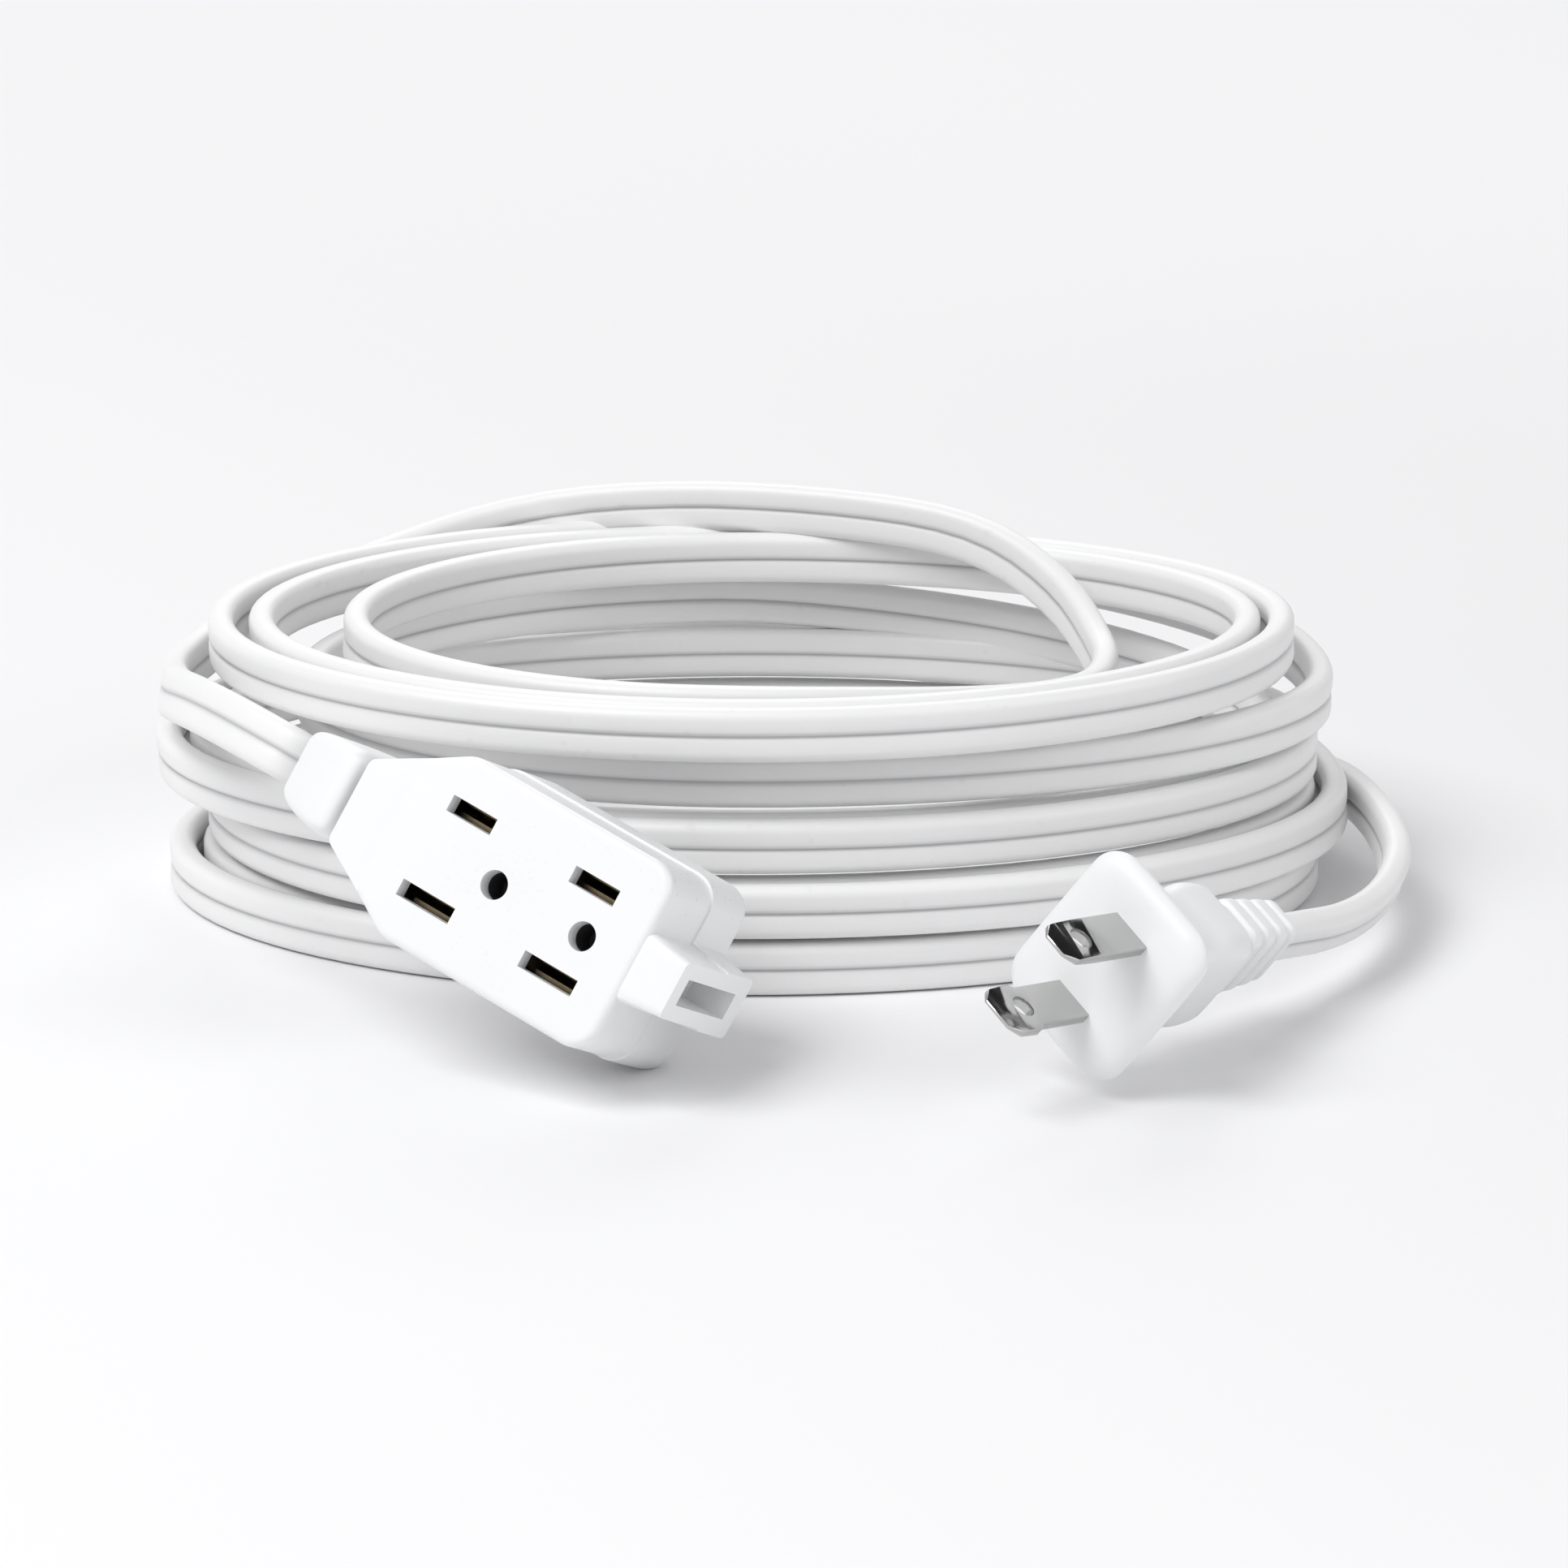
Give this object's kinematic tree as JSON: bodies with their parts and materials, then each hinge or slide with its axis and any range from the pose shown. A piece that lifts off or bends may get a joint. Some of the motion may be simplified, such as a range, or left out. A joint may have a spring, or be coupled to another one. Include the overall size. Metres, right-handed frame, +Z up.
{
  "type": "indoor extension cord",
  "caption": "Flat twin extension cord wound in an oval coil, with a polarised two-blade plug and a flat outlet block with slotted faces.",
  "frame": {"origin": "on the floor, under the centre of the outlet block's bounding box (block and strain collar, without the cord and plug)", "axes": "+Z up from the floor; +X along the block's longer horizontal extent, towards its nose; +Y away from the block, towards the middle of the coil"},
  "size_m": [0.1801, 0.1849, 0.05],
  "materials": {
    "outlet_shell": "smooth",
    "cord_jacket": "satin",
    "plug_moulding": "satin",
    "carrier_plastic": "satin",
    "contact_metal": "smooth",
    "blade_metal": "brushed",
    "core_insulation": "satin"
  },
  "bodies": {
    "root": {"outlet_front_shell": "outlet_shell", "outlet_back_shell": "outlet_shell", "outlet_strain_collar": "plug_moulding", "contact_carrier": "carrier_plastic", "line_contact_strip": "contact_metal", "neutral_contact_strip": "contact_metal", "outlet_line_wire": "core_insulation", "outlet_neutral_wire": "core_insulation", "plug_body": "plug_moulding", "plug_blade_bridge": "carrier_plastic", "line_blade": "blade_metal", "neutral_blade": "blade_metal", "plug_line_wire": "core_insulation", "plug_neutral_wire": "core_insulation", "cord_coil": "cord_jacket", "cord_to_outlet": "cord_jacket", "cord_to_plug": "cord_jacket"}
  },
  "joints": []
}
